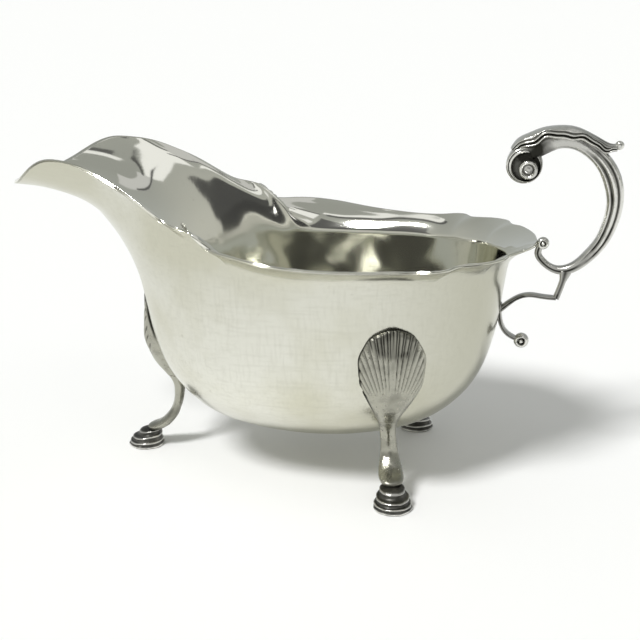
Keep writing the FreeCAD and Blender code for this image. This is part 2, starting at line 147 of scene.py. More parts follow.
def spline(points, steps, place_columns=None):
    """A natural cubic spline through rows of numbers, with steps samples in each span.

    The first place_columns numbers of a row are its place, and set how long the spans are.
    """
    points = np.asarray(points, float)
    gaps = np.linalg.norm(np.diff(points[:, :place_columns], axis=0), axis=1)
    size = len(points)
    matrix = np.eye(size)
    target = np.zeros_like(points)
    for k in range(1, size - 1):
        matrix[k, k - 1:k + 2] = (gaps[k - 1], 2 * (gaps[k - 1] + gaps[k]), gaps[k])
        rise_after = (points[k + 1] - points[k]) / gaps[k]
        rise_before = (points[k] - points[k - 1]) / gaps[k - 1]
        target[k] = 6 * (rise_after - rise_before)
    bends = np.linalg.solve(matrix, target)
    samples = []
    for k, gap in enumerate(gaps):
        for t in np.arange(steps) / steps * gap:
            u = gap - t
            samples.append(
                (bends[k] * u ** 3 + bends[k + 1] * t ** 3) / (6 * gap)
                + (points[k] / gap - bends[k] * gap / 6) * u
                + (points[k + 1] / gap - bends[k + 1] * gap / 6) * t
            )
    samples.append(points[-1])
    return np.array(samples)


def grid_mesh(name, grid, marks=None, capped=True):
    """A closed tube of quads from rows of points in millimetres, with named marks per point."""
    rows, columns = grid.shape[:2]
    faces = []
    for row in range(rows - 1):
        for column in range(columns):
            after = (column + 1) % columns
            low, high = row * columns, (row + 1) * columns
            faces.append((low + column, low + after, high + after, high + column))
    if capped:
        faces.append(tuple(reversed(range(columns))))
        faces.append(tuple(range((rows - 1) * columns, rows * columns)))
    mesh = bpy.data.meshes.new(name)
    mesh.from_pydata((grid.reshape(-1, 3) * MM).tolist(), [], faces)
    mesh.polygons.foreach_set("use_smooth", [True] * len(mesh.polygons))
    for mark, values in (marks or {}).items():
        layer = mesh.attributes.new(mark, "FLOAT", "POINT")
        layer.data.foreach_set("value", np.asarray(values, dtype=np.float32).ravel())
    return mesh


def joined(name, meshes):
    """One mesh from several."""
    maker = bmesh.new()
    for mesh in meshes:
        maker.from_mesh(mesh)
    whole = bpy.data.meshes.new(name)
    maker.to_mesh(whole)
    maker.free()
    return whole


def add_piece(name, mesh, material, slot, *nodes):
    """A visible piece that stands for CAD nodes and moves with the boat."""
    maker = bmesh.new()
    maker.from_mesh(mesh)
    bmesh.ops.recalc_face_normals(maker, faces=maker.faces)
    maker.to_mesh(mesh)
    maker.free()
    piece = bpy.data.objects.new(name, mesh)
    bpy.context.scene.collection.objects.link(piece)
    piece.data.materials.append(material)
    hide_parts(*nodes)
    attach(piece, "root")
    return piece


# ---------------------------------------------------------------- the raised body
CREASE_ROW = len(RINGS) - 1
COLUMN_STEPS = 6
ROW_STEPS = 9
# The crease under the flare fades out between these shares of the way to the spout
CREASE_GONE, CREASE_WHOLE = -0.62, -0.36
SOFTENING_PASSES = 14
RIM_CORNERS = 8
# How far the rounded rim stands up, in half-sheets, and how far it is set down, in millimetres
RIM_CROWN, RIM_SET_DOWN = 0.8, 0.3


def ring_points(ring, shares):
    """One ring's half. shares run from 1 at the handle end to -1 at the spout end."""
    front_x, back_x, half_width, front_z, side_z, back_z = ring
    back = shares >= 0
    reach = np.where(back, back_x - BOWL_CENTRE_X, BOWL_CENTRE_X - front_x)
    end_z = np.where(back, back_z, front_z)
    across = half_width * np.maximum(0.0, 1 - np.abs(shares) ** PLAN_POWER) ** (1 / PLAN_POWER)
    return np.stack([BOWL_CENTRE_X + reach * shares, across, side_z + (end_z - side_z) * shares ** 2], axis=1)


def outer_skin():
    """The outside of the body as rows of points, from the sole up."""
    rim = spline(RIM, COLUMN_STEPS)
    offset = rim[:, 0] - BOWL_CENTRE_X
    shares = np.clip(offset / np.where(offset >= 0, offset[0], -offset[-1]), -1, 1)
    rows = [ring_points(ring, shares) for ring in RINGS]
    crease = rows[CREASE_ROW]
    for out, up_side, up_spout in FLARE:
        up = up_side + (up_spout - up_side) * np.maximum(0.0, -shares) ** 4
        rows.append(crease + (rim - crease) * np.stack([np.full_like(up, out)] * 2 + [up], axis=1))
    rows.append(rim)
    half = np.array(rows)
    ring = np.concatenate([half, half[:, -2:0:-1] * (1, -1, 1)], axis=1)
    shares = np.concatenate([shares, shares[-2:0:-1]])
    flowing = np.stack([spline(ring[:, k], ROW_STEPS) for k in range(ring.shape[1])], axis=1)
    wall = [spline(ring[:CREASE_ROW + 1, k], ROW_STEPS) for k in range(ring.shape[1])]
    flare = [spline(ring[CREASE_ROW:, k], ROW_STEPS) for k in range(ring.shape[1])]
    bent = np.concatenate([np.stack(wall, axis=1), np.stack(flare, axis=1)[1:]], axis=0)
    crispness = smoothstep(CREASE_GONE, CREASE_WHOLE, shares)[None, :, None]
    return flowing + (bent - flowing) * crispness


def skin_normals(skin):
    """The outward direction at every point of a skin."""
    along = np.roll(skin, -1, axis=1) - np.roll(skin, 1, axis=1)
    normals = np.cross(along, np.gradient(skin, axis=0))
    return normals / np.linalg.norm(normals, axis=2, keepdims=True)


def hammer_marks(points):
    """Very shallow unevenness that raising by hand leaves, in millimetres."""
    x, y, z = points[..., 0], points[..., 1], points[..., 2]
    broad = np.sin(0.21 * x + 0.9 * np.sin(0.13 * z)) * np.sin(0.24 * z + 0.17 * y)
    fine = np.sin(0.55 * x + 0.31 * y + 1.4) * np.sin(0.49 * z - 0.22 * y + 0.6)
    return 0.085 * broad + 0.022 * fine


def softened(skin):
    """The outside, with the crease rounded over as hammering leaves it. The inside stays crisp."""
    first, last = (CREASE_ROW - 1) * ROW_STEPS, (CREASE_ROW + 1) * ROW_STEPS
    skin = skin.copy()
    for _ in range(SOFTENING_PASSES):
        skin[first:last] += (skin[first - 1:last - 1] + skin[first + 1:last + 1] - 2 * skin[first:last]) / 4
    return skin


def add_body(material):
    """Both sides of the sheet with a rounded rim between them, from the outer to the inner sole."""
    outer = outer_skin()
    outwards = skin_normals(outer)
    outwards[0] = (0, 0, -1)
    fade = smoothstep(0, ROW_STEPS, np.arange(len(outer)))[:, None, None]
    fade = fade * smoothstep(0, 4, np.arange(len(outer))[::-1])[:, None, None]
    outer = outer + outwards * hammer_marks(outer)[..., None] * fade
    inner = outer - outwards * SHEET
    outer = softened(outer)
    upward = outer[-1] - outer[-2]
    upward /= np.linalg.norm(upward, axis=1, keepdims=True)
    middle = (outer[-1] + inner[-1]) / 2
    turns = np.linspace(0, math.pi, RIM_CORNERS)[1:-1]
    edge = [middle + (outwards[-1] * math.cos(t) + upward * RIM_CROWN * math.sin(t)) * SHEET / 2
            for t in turns]
    grid = np.concatenate([outer, np.array(edge) - upward * RIM_SET_DOWN, inner[::-1]], axis=0)
    inside = np.concatenate([np.zeros(len(outer)), np.linspace(0, 1, len(edge)), np.ones(len(inner))])
    marks = {"inside": np.repeat(inside, grid.shape[1])}
    add_piece("body", grid_mesh("body", grid, marks), material, "raised_silver", "body_shell")


def wall_tree():
    """A search tree of the outside of the bowl, in millimetres."""
    skin = outer_skin()
    rows, columns = skin.shape[:2]
    faces = [(r * columns + c, r * columns + (c + 1) % columns,
              (r + 1) * columns + (c + 1) % columns, (r + 1) * columns + c)
             for r in range(rows - 1) for c in range(columns)]
    return BVHTree.FromPolygons(skin.reshape(-1, 3).tolist(), faces)


# ---------------------------------------------------------------- legs
# Ribs fan out from a height on the knee's middle line, and deepen between two distances from it
FAN_CENTRE_Z = 22.8
FAN_STEP = math.radians(3.7)
RIB_START, RIB_FULL, RIB_DEPTH = 10.0, 14.5, 0.6
RIB_SHARPNESS = 3.5
# Shares of the half-width where the ribs fade out, and where the side's dark line of painted shadow and
# tarnish comes in
RIB_FADE = (0.92, 0.99)
SIDE_SHADOW_AND_TARNISH = (0.97, 0.995)
# Heights where the shell turns over and takes painted shade. The painted shade starts higher towards the
# sides
TURN_OVER = (42.0, 44.5)
TURN_OVER_RISE = 0.09
SIDE_POWER = 2.5
BACK_STEPS = 10
BACK_WIDTH = 0.96
# Places along the leg's X: behind every wall point, and where a knee's back starts
PROBE_START, BACK_START = -25.0, -30.0
# The height over the wall of a point that has no wall beside it
CLEAR_OF_WALL = 9.0
# The ridge down the stem's front
RIDGE_HEIGHT, RIDGE_HALF_TURN = 0.22, 0.35


def leg_places():
    """Name, place and bend of each leg. The lean is across the leg's own frame."""
    front = Matrix.Translation((-FRONT_LEG_X, 0, 0)) @ Matrix.Rotation(math.pi, 4, "Z")
    places = [("front", front, FRONT_BEND)]
    for name, side in (("right", -1), ("left", 1)):
        turn = math.radians(90 - REAR_LEG_TURN) * side
        place = Matrix.Translation((REAR_LEG_X, REAR_LEG_Y * side, 0)) @ Matrix.Rotation(turn, 4, "Z")
        reach, lean, start, end = REAR_BEND
        places.append((name, place, (reach, side * lean, start, end)))
    return places


def placed(points, place):
    """Points in a leg's frame, moved to the boat's frame."""
    turn = np.array(place.to_3x3())
    return points @ turn.T + np.array(place.translation)


def leg_sections(first, last, steps, bend):
    """Smooth leg sections between two rows of LEG, bent to fit the wall.

    Rows hold height, centre outwards, half-depth, half-width and centre across.
    """
    reach, lean, start, end = bend
    rows = spline(LEG, steps, 1)[first * steps:last * steps + 1]
    share = smoothstep(start, end, rows[:, 0])
    rows[:, 1] += reach * share
    return np.column_stack([rows, lean * share])


def over_the_wall(rows, wall, place):
    """How far each point stands out from the bowl along the leg's X. Far where the bowl isn't."""
    outwards = place.to_3x3() @ Vector((1, 0, 0))
    over = np.full(rows.shape[:2], CLEAR_OF_WALL)
    for index in np.ndindex(over.shape):
        x, y, z = rows[index]
        hit = wall.ray_cast(place @ Vector((PROBE_START, y, z)), outwards)[0]
        if hit:
            over[index] = x - (place.inverted() @ hit).x
    return over


def behind_the_wall(rows, over):
    """Points that reach into the bowl are drawn back into the middle of its sheet."""
    rows[:, :, 0] += np.maximum(0, -SHEET / 2 - over)
    return rows


def add_knee(name, place, bend, wall, material):
    """A ribbed shell on the wall: ribs fan out from a point below, and turn over at the top."""
    sections = leg_sections(STEM_SPANS, len(LEG) - 1, 15, bend)
    turns = np.linspace(-math.pi / 2, math.pi / 2, 150)
    out, across = superellipse(turns, SIDE_POWER)
    side = np.abs(across)
    back = np.linspace(1, -1, BACK_STEPS)
    back_mark = np.ones(BACK_STEPS)
    rows, marks, sides = [], [], []
    for height, centre, depth, width, lean in sections:
        x, y = depth * out, width * across
        share = np.arctan2(y, height - FAN_CENTRE_Z) / FAN_STEP
        groove = np.abs(2 * (share - np.floor(share)) - 1) ** RIB_SHARPNESS
        reach = np.hypot(y, height - FAN_CENTRE_Z)
        groove *= smoothstep(RIB_START, RIB_FULL, reach) * (1 - smoothstep(*RIB_FADE, side))
        keep = 1 - RIB_DEPTH * groove / np.maximum(np.hypot(x, y), 1.0)
        front = np.stack([centre + x * keep, lean + y * keep, np.full_like(x, height)], axis=1)
        rear_y = lean + BACK_WIDTH * width * back
        rear = np.stack([np.full_like(back, BACK_START), rear_y, np.full_like(back, height)], axis=1)
        rows.append(np.concatenate([front, rear]))
        # Painted shade over the turned-over top, lighter and darker in streaks that follow the ribs
        top_shade = 0.70 + 0.30 * np.cos(4 * math.pi * share)
        top_shade *= smoothstep(*TURN_OVER, height - TURN_OVER_RISE * y ** 2)
        marks.append(np.concatenate([np.maximum(groove, top_shade), back_mark]))
        # Painted shadow mixed with tarnish along the shell's sides
        sides.append(np.concatenate([smoothstep(*SIDE_SHADOW_AND_TARNISH, side), back_mark]))
    rows = np.array(rows)
    over = over_the_wall(rows, wall, place)
    rows = behind_the_wall(rows, over)
    rows[:, :, 0] = np.maximum(rows[:, :, 0], sections[:, 1:2] - sections[:, 2:3])
    # Painted shadow mixed with tarnish: dark where the shell stands close to the wall, and along its sides
    outline = np.maximum(1 - smoothstep(0.3, 0.9, over), np.array(sides) * (1 - smoothstep(0.9, 1.6, over)))
    dark = np.maximum(np.array(marks), outline)
    mesh = grid_mesh(f"knee_{name}", placed(rows, place), {"tarnish_and_shade": dark})
    add_piece(f"knee_{name}", mesh, material, "cast_silver", f"knee_shell_{name}")


def add_stem(name, place, bend, wall, material):
    """The slender leg under the knee, with a full ankle that overhangs the hoof."""
    sections = leg_sections(0, STEM_SPANS, 12, bend)
    turns = np.linspace(0, 2 * math.pi, 56, endpoint=False)
    rows, marks = [], []
    for height, centre, depth, width, lean in sections:
        ridge = RIDGE_HEIGHT * bell(turn_from(turns, 0), 0, RIDGE_HALF_TURN)
        ridge *= smoothstep(8, 11, height) * (1 - smoothstep(18, 23, height))
        x = centre + (depth + ridge) * np.cos(turns)
        y = lean + width * np.sin(turns)
        rows.append(np.stack([x, y, np.full_like(x, height)], axis=1))
        marks.append(np.full(len(turns), 0.55 * bell(height, 5.6, 0.9) + 0.25 * bell(height, 12, 4)))
    rows = np.array(rows)
    rows = behind_the_wall(rows, over_the_wall(rows, wall, place))
    mesh = grid_mesh(f"stem_{name}", placed(rows, place), {"tarnish_and_shade": np.array(marks)})
    add_piece(f"stem_{name}", mesh, material, "cast_silver", f"leg_stem_{name}")


# Hoof outline from the sole up: height, radius, centre outwards, fall towards the toe, edge wear
HOOF = (
    (0.00, 5.00, 3.10, 0.00, 0.2), (0.15, 5.22, 3.10, 0.00, 0.7), (0.45, 5.28, 3.10, 0.00, 1.0),
    (0.80, 5.16, 3.08, 0.01, 0.1), (1.30, 5.02, 3.05, 0.02, 0.0), (1.60, 5.08, 3.05, 0.03, 1.0),
    (1.80, 4.95, 3.00, 0.04, 0.8), (1.92, 4.62, 2.80, 0.05, 0.0), (2.15, 4.48, 2.72, 0.06, 0.0),
    (2.85, 4.44, 2.70, 0.09, 0.0), (3.20, 4.54, 2.68, 0.11, 1.0), (3.40, 4.36, 2.62, 0.12, 0.7),
    (3.56, 3.85, 2.20, 0.13, 0.0), (3.80, 3.55, 1.98, 0.14, 0.0), (4.60, 3.42, 1.80, 0.14, 0.0),
    (4.95, 3.46, 1.70, 0.12, 0.9), (5.20, 3.20, 1.45, 0.08, 0.4), (5.60, 2.20, 0.80, 0.00, 0.0),
)


def add_hoof(name, place, material):
    """A hoof of three tiers that step out towards the toe, each with a thin worn edge."""
    turns = np.linspace(0, 2 * math.pi, 84, endpoint=False)
    toe = 1 + 0.035 * np.cos(turns) ** 3 - 0.02 * bell(turn_from(turns, 0), 0, 0.22)
    rows, marks = [], []
    for height, radius, centre, fall, wear in spline(HOOF, 4, 2):
        uneven = 1 + 0.012 * np.sin(5 * turns + 2.1 * height) + 0.008 * np.sin(11 * turns - 3 * height)
        x = radius * toe * uneven * np.cos(turns)
        y = radius * uneven * np.sin(turns)
        sag = 0.10 * np.sin(3 * turns + 1.7) * smoothstep(0.5, 1.5, height)
        rows.append(np.stack([centre + x, y, np.maximum(0, height - fall * x + sag)], axis=1))
        marks.append(np.full(len(turns), np.clip(wear, 0, 1)))
    mesh = grid_mesh(f"hoof_{name}", placed(np.array(rows), place), {"wear": np.array(marks)})
    add_piece(f"hoof_{name}", mesh, material, "oxidised_silver", f"hoof_foot_{name}")


# ---------------------------------------------------------------- handle
def path_frame(path):
    """The outward normal at each point of a path in the plane Y = 0. Columns are X and Z."""
    tangent = np.gradient(path, axis=0)
    tangent /= np.linalg.norm(tangent, axis=1, keepdims=True)
    return np.stack([-tangent[:, 1], tangent[:, 0]], axis=1)


def bar_rows(path, outwards, across):
    """Rows of points round a bar: offsets along the normal and across it, at each path point."""
    normal = path_frame(path)
    x = path[:, :1] + normal[:, :1] * outwards
    z = path[:, 1:2] + normal[:, 1:2] * outwards
    return np.stack([x, across, z], axis=2)


# Grooves down each side of the scroll: places across its thickness, width and depth, as shares
GROOVES, GROOVE_WIDTH, GROOVE_DEPTH = (0.40, -0.36), 0.17, 0.26
# The single channel down each side of the lower bar
CHANNEL_PLACE, CHANNEL_DEPTH = 0.1, 0.16
# Shares of the way along where the grooves come in and go out, and where the lower bar starts
GROOVES_IN, GROOVES_OUT, LOWER_BAR = (0.18, 0.34), (0.60, 0.74), (0.62, 0.76)


def add_scroll(material):
    """The C scroll: two grooves run down each side and die out at the flatter lower bar."""
    stations = spline(SCROLL, 16, 2)
    along = np.linspace(0, 1, len(stations))[:, None]
    turns = np.linspace(0, 2 * math.pi, 96, endpoint=False)
    out, side = superellipse(turns, 2.5)
    grooves = sum(bell(out, place, GROOVE_WIDTH) for place in GROOVES)
    fade = smoothstep(*GROOVES_IN, along) * (1 - smoothstep(*GROOVES_OUT, along))
    lower = smoothstep(*LOWER_BAR, along)
    cut = GROOVE_DEPTH * fade * grooves + CHANNEL_DEPTH * lower * bell(out, CHANNEL_PLACE, 0.35)
    outwards = out * stations[:, 2:3] / 2
    across = side * stations[:, 3:4] / 2 * (1 - cut)
    outwards = outwards * (1 - 0.05 * fade * bell(side, 0, 0.25))
    rows = bar_rows(stations[:, :2], outwards, across)
    dark = np.clip(fade * grooves + 0.7 * lower * bell(out, CHANNEL_PLACE, 0.3) + 0.4 * (1 - fade), 0, 1)
    dark = np.maximum(dark, 0.85 * (1 - smoothstep(0.02, 0.16, along)) * np.ones_like(dark))
    mesh = grid_mesh("scroll", rows, {"tarnish_and_shade": dark})
    add_piece("scroll", mesh, material, "cast_silver", "handle_scroll")


# Half of the leaf's section, from the ridge of its back round to the middle of its underside:
# outwards and across as shares of the half-sizes, how far the wavy edge moves it, tarnish
LEAF_SECTION = (
    (1.00, 0.00, 0.0, 0.0), (0.94, 0.34, 0.0, 0.0), (0.74, 0.68, 0.1, 0.0), (0.46, 0.90, 0.5, 0.1),
    (0.24, 0.87, 0.9, 1.0), (0.06, 1.03, 1.0, 0.0), (-0.12, 1.02, 1.0, 0.0), (-0.28, 0.86, 1.0, 1.0),
    (-0.44, 0.86, 1.0, 1.0), (-0.60, 0.98, 1.0, 0.0), (-0.80, 0.95, 1.0, 0.1), (-0.98, 0.78, 0.8, 0.9),
    (-1.06, 0.45, 0.3, 1.0), (-1.06, 0.00, 0.0, 1.0),
)
# Waves of the leaf's edge: how far it moves in millimetres, how many waves, and their start
LEAF_WAVES = ((0.42, 3.1, 0.15), (0.16, 6.7, 0.0))
# Veins along the leaf's back: place across its thickness and width, and their depth in millimetres
LEAF_VEINS = ((0.60, 0.10), (0.88, 0.06))
VEIN_DEPTH = 0.12


def add_leaf(material):
    """The leaf cap over the scroll: a smooth back, and a wavy double moulding along each side."""
    stations = spline(LEAF, 20, 2)
    half = spline(LEAF_SECTION, 4, 2)
    section = np.concatenate([half, half[-2:0:-1] * (1, -1, 1, 1)])
    along = np.linspace(0, 1, len(stations))[:, None]
    envelope = smoothstep(0.10, 0.25, along) * (1 - smoothstep(0.86, 1.0, along))
    wave = sum(size * np.sin(2 * math.pi * (count * along + start)) for size, count, start in LEAF_WAVES)
    wave = wave * envelope
    outwards = section[None, :, 0] * stations[:, 2:3] / 2 + wave * section[None, :, 2]
    across = section[None, :, 1] * stations[:, 3:4] / 2
    veins = sum(bell(section[None, :, 0], place, width) for place, width in LEAF_VEINS)
    veins = veins * smoothstep(0.5, 0.72, along) * (1 - smoothstep(0.92, 1.0, along))
    across = across * (1 - 0.05 * veins)
    outwards = outwards - VEIN_DEPTH * veins
    rows = bar_rows(stations[:, :2], outwards, across)
    dark = np.clip(section[None, :, 3] + 0.9 * veins, 0, 1) * np.ones_like(along)
    leaf = grid_mesh("leaf", rows, {"tarnish_and_shade": dark})
    knob = turned("leaf_knob", KNOB_CENTRE, KNOB_PROFILE, 40)
    add_piece("leaf_cap", joined("leaf_cap", [leaf, knob]), material, "cast_silver", "handle_leaf_cap")


# Turned profiles about an axis along Y: distance from the axis, offset along Y, tarnish
KNOB_PROFILE = (
    (0.02, -0.95, 0.0), (0.45, -0.92, 0.4), (0.85, -0.70, 0.0), (1.15, -0.30, 0.0), (1.20, 0.00, 0.0),
    (1.15, 0.30, 0.0), (0.85, 0.70, 0.0), (0.45, 0.92, 0.4), (0.02, 0.95, 0.0),
)
VOLUTE_SIDE = (
    (0.02, 2.40, 0.92), (2.00, 2.40, 0.92), (3.10, 2.42, 0.92), (3.55, 2.70, 0.92), (3.75, 3.20, 0.6),
    (3.92, 3.60, 0.0), (4.12, 3.64, 0.0), (4.26, 3.40, 1.0), (4.42, 3.66, 0.0), (4.62, 3.52, 0.0),
    (4.74, 3.05, 0.3), (4.62, 2.50, 0.9), (4.66, 2.00, 0.6), (4.78, 1.50, 0.0), (4.80, 0.00, 0.0),
)
EYE_SIDE = (
    (2.58, 2.30, 1.0), (2.60, 3.10, 0.6), (2.55, 3.80, 0.0), (2.36, 4.35, 0.0), (2.05, 4.62, 0.0),
    (1.72, 4.55, 0.0), (1.48, 4.15, 0.3), (1.30, 3.80, 0.9), (0.95, 3.70, 0.5), (0.50, 3.75, 0.4),
    (0.02, 3.80, 0.3),
)
CURL_SIDE = (
    (0.02, 1.30, 0.1), (0.35, 1.26, 0.1), (0.55, 1.05, 1.0), (0.70, 1.02, 1.0), (0.90, 1.22, 0.0),
    (1.20, 1.18, 0.0), (1.50, 0.82, 0.3), (1.66, 0.40, 0.0), (1.70, 0.00, 0.0),
)
BALL_SIDE = (
    (0.02, 1.62, 0.0), (0.40, 1.60, 0.0), (0.62, 1.30, 1.0), (0.90, 1.22, 1.0), (1.15, 1.50, 0.2),
    (1.50, 1.46, 0.0), (1.85, 1.05, 0.2), (2.05, 0.50, 0.0), (2.10, 0.00, 0.0),
)


def turned(name, centre, profile, columns, bulge=None, drift=None):
    """A piece turned about an axis along Y through (X, Z).

    bulge(radius, angle) moves Y outwards, and drift(radius) moves a ring off the centre in X and Z.
    """
    samples = spline(profile, 4, 2)
    turns = np.linspace(0, 2 * math.pi, columns, endpoint=False)[None, :]
    radius, offset = samples[:, :1], samples[:, 1:2]
    y = offset * np.ones_like(turns)
    if bulge:
        y = y + np.sign(offset) * bulge(radius, turns)
    across, up = drift(radius) if drift else (0.0, 0.0)
    x = centre[0] + across + radius * np.cos(turns)
    z = centre[1] + up + radius * np.sin(turns)
    rows = np.stack([x, y, z], axis=2)
    dark = np.clip(samples[:, 2:3], 0, 1) * np.ones_like(turns)
    return grid_mesh(name, rows, {"tarnish_and_shade": dark})


def both_sides(side):
    """A whole profile from one that runs from the axis to the middle, mirrored across Y = 0."""
    far = [(radius, -offset, dark) for radius, offset, dark in side]
    return tuple(side) + tuple(reversed(far[:-1]))


# Distance from the volute's axis to where its rim rises out of the recess
RECESS_RADIUS = 3.3


def open_mouth(radius, turns):
    """The volute's rim sinks where the scroll runs out of it, up and to the right."""
    gap = bell(turn_from(turns, math.radians(48)), 0, 0.62)
    return -1.25 * gap * smoothstep(RECESS_RADIUS, 4.1, radius)


def off_centre(radius):
    """The volute's recess lies towards the bottom right, so that its rim is widest at the top left."""
    share = 1 - smoothstep(RECESS_RADIUS, 4.72, radius)
    return 0.62 * share, -0.42 * share


def lobes(count, size, radius_at, width):
    """A bulge of a few rounded lobes in a band round a radius."""
    def bulge(radius, turns):
        return size * np.cos(count * turns + 0.6) * bell(radius, radius_at, width)
    return bulge


def crescent(radius, turns):
    """A short raised arc low in the eye."""
    arc = bell(turn_from(turns, math.radians(262)), 0, 0.85)
    return 0.55 * arc * bell(radius, 0.85, 0.26)


def add_turned_pieces(material):
    """The volute with an eye in each side, the curl's knob and the lower scroll's ball."""
    volute = turned("volute", VOLUTE_CENTRE, both_sides(VOLUTE_SIDE), 120,
                    bulge=open_mouth, drift=off_centre)
    add_piece("volute", volute, material, "cast_silver", "handle_volute")
    for name, side in (("right", -1), ("left", 1)):
        profile = [(radius, offset * side, dark) for radius, offset, dark in EYE_SIDE]
        eye = turned(f"eye_{name}", EYE_CENTRE, profile, 72, bulge=crescent)
        add_piece(f"eye_{name}", eye, material, "cast_silver", f"volute_eye_{name}")
    curl = turned("curl_knob", CURL_CENTRE, both_sides(CURL_SIDE), 60, bulge=lobes(2, 0.12, 1.1, 0.3))
    add_piece("curl_knob", curl, material, "cast_silver", "inner_curl_knob")
    ball = turned("scroll_ball", BALL_CENTRE, both_sides(BALL_SIDE), 72, bulge=lobes(3, 0.28, 0.8, 0.35))
    add_piece("scroll_ball", ball, material, "cast_silver", "lower_scroll_ball")


def strap_mesh(name, points, half_thickness, half_width):
    """A cast strap with rounded edges and a shallow channel along each side.

    half_thickness and half_width take the share along the strap, from 0 to 1.
    """
    path = spline(points, 14, 2)
    along = np.linspace(0, 1, len(path))[:, None]
    turns = np.linspace(0, 2 * math.pi, 56, endpoint=False)
    out, side = superellipse(turns, 3.0)
    channel = bell(out, 0.0, 0.42)
    across = side * half_width(along) * (1 - 0.12 * channel)
    rows = bar_rows(path, out * half_thickness(along), across)
    return grid_mesh(name, rows, {"tarnish_and_shade": np.clip(0.45 + 0.5 * channel, 0, 1) * np.ones_like(along)})


def add_straps(material):
    """The bracket from the scroll to the wall, and the small scroll under it."""
    half, wide = STRAP_THICKNESS / 2, STRAP_WIDTH / 2
    drop_half = STRAP_DROP_THICKNESS / 2
    drop = strap_mesh("drop", STRAP_DROP,
                      lambda t: drop_half * (1.0 + 0.8 * (1 - smoothstep(0.0, 0.5, t))),
                      lambda t: wide * (0.92 - 0.10 * t))
    run = strap_mesh("run", STRAP_RUN,
                     lambda t: half * (0.92 + 0.35 * smoothstep(0.6, 1, t)),
                     lambda t: wide * (0.85 + 0.15 * t))
    add_piece("strap", joined("strap", [drop, run]), material, "cast_silver", "handle_strap")
    lower = strap_mesh("lower_scroll", LOWER_SCROLL,
                       lambda t: half * (1.15 - 0.25 * t), lambda t: wide * (1 - 0.2 * t))
    add_piece("lower_scroll", lower, material, "cast_silver", "lower_scroll")


# ---------------------------------------------------------------- materials
# The third body colour is painted shade, laid on the outside of the body
SILVER_PALE, SILVER_WARM, SILVER_SHADED = (0.780, 0.777, 0.710), (0.635, 0.625, 0.515), (0.50, 0.495, 0.41)
SILVER_INSIDE = (0.815, 0.812, 0.740)
SCRATCH, SPECK = (0.42, 0.41, 0.33), (0.42, 0.40, 0.33)
HANDLE_SILVER, LEG_SILVER = (0.74, 0.735, 0.695), (0.42, 0.415, 0.355)
# The dark colour of cast silver: tarnish, and on the knees also painted shade and painted shadow
TARNISH_AND_SHADE = (0.03, 0.03, 0.025)
OXIDE_DARK, OXIDE_PALE, WORN_EDGE = (0.045, 0.045, 0.04), (0.15, 0.147, 0.135), (0.86, 0.85, 0.81)
# Turn and scale per metre of the noise that draws each set of fine lines
UPRIGHT_LINES = ((0.12, 0.05, 0), (1700, 1700, 130))
LEVEL_LINES = ((0.05, 0.08, 0), (110, 900, 1500))


def new_material(name):
    """A material with its nodes and links."""
    material = bpy.data.materials.new(name)
    material.use_nodes = True
    return material, material.node_tree.nodes, material.node_tree.links


def new_silver(name):
    """A metal material with its nodes, links, shader and object coordinates."""
    material, nodes, links = new_material(name)
    shader = nodes["Principled BSDF"]
    shader.inputs["Metallic"].default_value = 1.0
    return material, nodes, links, shader, nodes.new("ShaderNodeTexCoord")


def noise(nodes, links, place, scale, detail, stretch=None):
    """A noise value at a scale per metre. A stretch is a turn and a scale for each axis."""
    source = place.outputs["Object"]
    if stretch:
        mapping = nodes.new("ShaderNodeMapping")
        mapping.inputs["Rotation"].default_value = stretch[0]
        mapping.inputs["Scale"].default_value = stretch[1]
        links.new(source, mapping.inputs["Vector"])
        source = mapping.outputs["Vector"]
    texture = nodes.new("ShaderNodeTexNoise")
    texture.inputs["Scale"].default_value = scale
    texture.inputs["Detail"].default_value = detail
    links.new(source, texture.inputs["Vector"])
    return texture.outputs["Fac"]


def spread(nodes, links, value, low_in, high_in, low_out, high_out):
    """A value moved from one range to another, and held inside it."""
    node = nodes.new("ShaderNodeMapRange")
    node.inputs["From Min"].default_value = low_in
    node.inputs["From Max"].default_value = high_in
    node.inputs["To Min"].default_value = low_out
    node.inputs["To Max"].default_value = high_out
    links.new(value, node.inputs["Value"])
    return node.outputs["Result"]


def set_input(links, socket, value):
    """A number is set on the socket itself, and another socket is linked to it."""
    if isinstance(value, float):
        socket.default_value = value
    else:
        links.new(value, socket)


def plain(nodes, links, operation, *values):
    """A Math node that isn't clamped."""
    node = nodes.new("ShaderNodeMath")
    node.operation = operation
    for index, value in enumerate(values):
        set_input(links, node.inputs[index], value)
    return node.outputs["Value"]


def combine(nodes, links, operation, *values):
    """A Math node whose result is held between 0 and 1."""
    result = plain(nodes, links, operation, *values)
    result.node.use_clamp = True
    return result


def mixed(nodes, links, factor, first, second):
    """One colour that turns into another. Each is a colour or a socket."""
    node = nodes.new("ShaderNodeMix")
    node.data_type = "RGBA"
    links.new(factor, node.inputs["Factor"])
    for name, colour in (("A", first), ("B", second)):
        socket = next(item for item in node.inputs if item.name == name and item.type == "RGBA")
        if isinstance(colour, tuple):
            socket.default_value = (*colour, 1)
        else:
            links.new(colour, socket)
    return next(item for item in node.outputs if item.type == "RGBA")


def mark(nodes, name):
    """A named mark of the mesh's points."""
    node = nodes.new("ShaderNodeAttribute")
    node.attribute_name = name
    return node.outputs["Fac"]


def bumped(nodes, links, shader, layers):
    """Chained bumps on a shader. Each layer is a height, its depth in metres and its strength.

    A strength is a number or a socket.
    """
    normal = None
    for height, depth, strength in layers:
        bump = nodes.new("ShaderNodeBump")
        bump.inputs["Distance"].default_value = depth
        set_input(links, bump.inputs["Strength"], strength)
        links.new(height, bump.inputs["Height"])
        if normal:
            links.new(normal, bump.inputs["Normal"])
        normal = bump.outputs["Normal"]
    links.new(normal, shader.inputs["Normal"])


